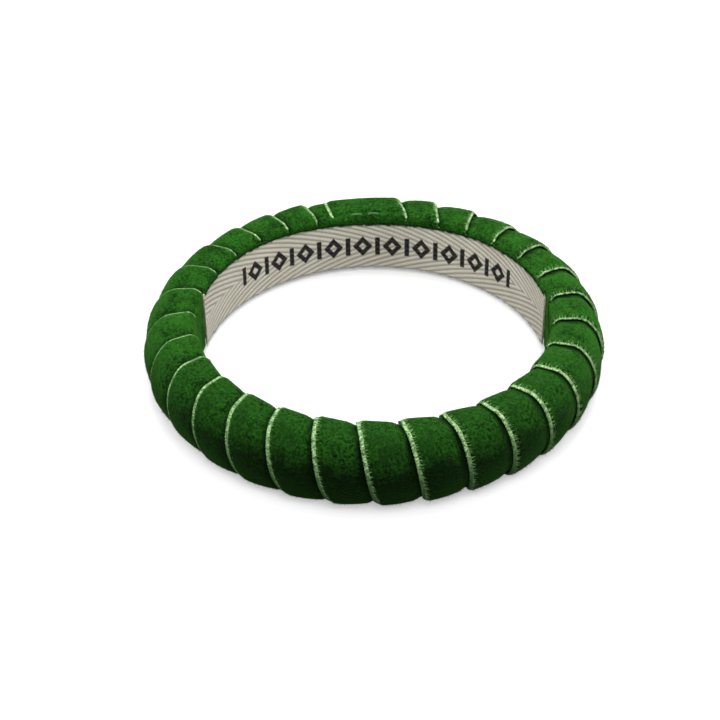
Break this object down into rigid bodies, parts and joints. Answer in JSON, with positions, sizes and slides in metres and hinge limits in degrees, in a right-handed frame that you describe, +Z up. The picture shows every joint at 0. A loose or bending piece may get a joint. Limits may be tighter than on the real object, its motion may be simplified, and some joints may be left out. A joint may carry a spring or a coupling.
{
  "type": "bangle bracelet",
  "caption": "Closed round bangle bracelet wound with overlapping turns of velvet ribbon, with a herringbone tape label round part of the inside.",
  "frame": {"origin": "on the ring's axis, in the plane that it rests on", "axes": "+Z up along the ring's axis; +Y towards the middle of the label, where the ribbon's end lies"},
  "size_m": [0.0855, 0.0854, 0.0142],
  "materials": {
    "core_plastic": "moulded, satin",
    "bonding_film": "double-sided film",
    "green_velvet": "short cut pile",
    "tack_thread": "sewing thread",
    "cotton_twill": "herringbone weave",
    "label_glue": "dried textile glue"
  },
  "bodies": {
    "root": {"core_ring": "core_plastic", "bonding_strip": "bonding_film", "velvet_ribbon": "green_velvet", "end_tack_stitches": "tack_thread", "twill_label": "cotton_twill", "label_adhesive": "label_glue"}
  },
  "joints": []
}
